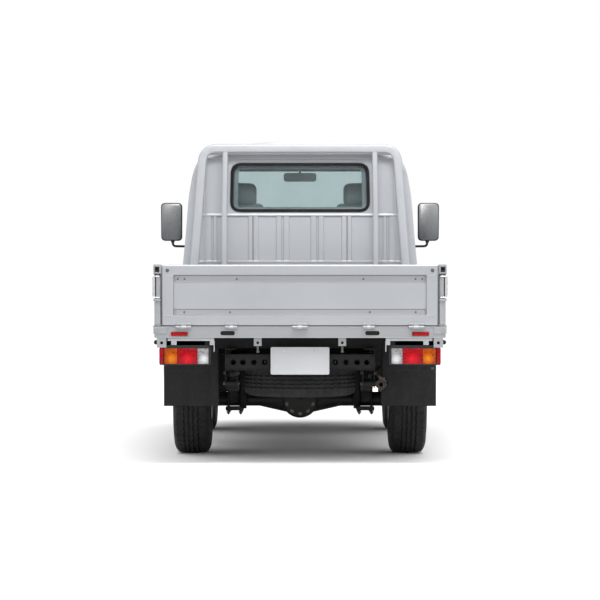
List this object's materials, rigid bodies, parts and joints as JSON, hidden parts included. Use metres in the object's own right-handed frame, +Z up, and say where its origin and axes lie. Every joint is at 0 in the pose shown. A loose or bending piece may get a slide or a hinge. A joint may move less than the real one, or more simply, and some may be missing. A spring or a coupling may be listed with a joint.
{
  "type": "light cab-over dropside truck",
  "caption": "Light cab-over truck with a dropside bed: gates that hinge down, a guard arch behind the cab, opening doors, steered front wheels and a flat-slung spare wheel.",
  "frame": {"origin": "on the ground under the middle of the truck's bounding box", "axes": "+Z up, +Y towards the front of the truck, +X towards its right-hand side"},
  "size_m": [2.113, 4.45, 2.0904],
  "materials": {
    "paint_silver": "satin metallic silver paint",
    "tyre_rubber": "matte moulded rubber",
    "rim_steel": "silver painted pressed steel",
    "chassis_black": "black chassis paint with road dust",
    "engine_iron": "rough cast",
    "exhaust_steel": "heat-browned steel",
    "tinted_glass": "lightly tinted",
    "seat_fabric": "dark woven cloth",
    "black_plastic": "grained",
    "flap_rubber": "matte sheet rubber",
    "red_lens": "moulded ribbed lens",
    "clear_lens": "clear moulded lens",
    "plate_white": "blank painted plate",
    "floor_mat": "ribbed mat over a painted floor"
  },
  "bodies": {
    "chassis": {"bed_bearers": "chassis_black", "bed_floor": "paint_silver", "cab_back_panel": "paint_silver", "cab_floor": "floor_mat", "cab_front_panel": "paint_silver", "cab_glass": "tinted_glass", "cab_roof": "paint_silver", "cab_sides": "paint_silver", "crossmembers": "chassis_black", "dashboard": "black_plastic", "driveshaft": "chassis_black", "engine_block": "engine_iron", "exhaust": "exhaust_steel", "frame_rails": "chassis_black", "front_bumper": "black_plastic", "front_suspension": "chassis_black", "fuel_tank": "chassis_black", "guard_arch": "paint_silver", "headboard": "paint_silver", "headlamps": "clear_lens", "inner_mirror": "black_plastic", "leaf_springs": "chassis_black", "mud_flaps": "flap_rubber", "number_plate": "plate_white", "rear_axle": "chassis_black", "seats": "seat_fabric", "spare_rim": "rim_steel", "spare_tyre": "tyre_rubber", "tail_lamp_housings": "black_plastic", "tail_lamp_lenses": "red_lens"},
    "tailgate": {"tailgate": "paint_silver"},
    "side_gate_left": {"side_gate_left": "paint_silver"},
    "side_gate_right": {"side_gate_right": "paint_silver"},
    "door_left": {"door_left": "paint_silver", "door_glass_left": "tinted_glass", "mirror_left": "black_plastic"},
    "door_right": {"door_right": "paint_silver", "door_glass_right": "tinted_glass", "mirror_right": "black_plastic"},
    "knuckle_left": {"knuckle_left": "chassis_black"},
    "knuckle_right": {"knuckle_right": "chassis_black"},
    "wheel_front_left": {"tyre_front_left": "tyre_rubber", "rim_front_left": "rim_steel"},
    "wheel_front_right": {"tyre_front_right": "tyre_rubber", "rim_front_right": "rim_steel"},
    "wheel_rear_left": {"tyre_rear_left": "tyre_rubber", "rim_rear_left": "rim_steel"},
    "wheel_rear_right": {"tyre_rear_right": "tyre_rubber", "rim_rear_right": "rim_steel"},
    "steering_wheel": {"steering_wheel": "black_plastic"}
  },
  "joints": [
    {"name": "rear_left_wheel_spin", "type": "hinge", "parent": "chassis", "child": "wheel_rear_left", "pos_m": [-0.66, -1.125, 0.33], "axis": [1, 0, 0], "continuous": true},
    {"name": "rear_right_wheel_spin", "type": "hinge", "parent": "chassis", "child": "wheel_rear_right", "pos_m": [0.66, -1.125, 0.33], "axis": [1, 0, 0], "continuous": true},
    {"name": "steer_left", "type": "hinge", "parent": "chassis", "child": "knuckle_left", "pos_m": [-0.6, 1.175, 0.33], "axis": [0, 0, 1], "range_deg": [-30, 30]},
    {"name": "front_left_wheel_spin", "type": "hinge", "parent": "knuckle_left", "child": "wheel_front_left", "pos_m": [-0.705, 1.175, 0.33], "axis": [1, 0, 0], "continuous": true},
    {"name": "steer_right", "type": "hinge", "parent": "chassis", "child": "knuckle_right", "pos_m": [0.6, 1.175, 0.33], "axis": [0, 0, 1], "range_deg": [-30, 30]},
    {"name": "front_right_wheel_spin", "type": "hinge", "parent": "knuckle_right", "child": "wheel_front_right", "pos_m": [0.705, 1.175, 0.33], "axis": [1, 0, 0], "continuous": true},
    {"name": "steering_wheel_turn", "type": "hinge", "parent": "chassis", "child": "steering_wheel", "pos_m": [0.46, 1.435, 1.3], "axis": [0, -0.6429, 0.7659], "range_deg": [-480, 480]},
    {"name": "door_left_open", "type": "hinge", "parent": "chassis", "child": "door_left", "pos_m": [-0.836, 1.92, 1], "axis": [0, 0, -1], "range_deg": [0, 65]},
    {"name": "door_right_open", "type": "hinge", "parent": "chassis", "child": "door_right", "pos_m": [0.836, 1.92, 1], "axis": [0, 0, 1], "range_deg": [0, 65]},
    {"name": "tailgate_drop", "type": "hinge", "parent": "chassis", "child": "tailgate", "pos_m": [0, -2.2165, 0.79], "axis": [1, 0, 0], "range_deg": [0, 178]},
    {"name": "side_gate_left_drop", "type": "hinge", "parent": "chassis", "child": "side_gate_left", "pos_m": [-0.84, -0.95, 0.79], "axis": [0, -1, 0], "range_deg": [0, 178]},
    {"name": "side_gate_right_drop", "type": "hinge", "parent": "chassis", "child": "side_gate_right", "pos_m": [0.84, -0.95, 0.79], "axis": [0, 1, 0], "range_deg": [0, 178]}
  ],
  "couplings": [
    {"joint": "steer_right", "follows": "steer_left", "ratio": 1},
    {"joint": "steering_wheel_turn", "follows": "steer_left", "ratio": 16}
  ]
}
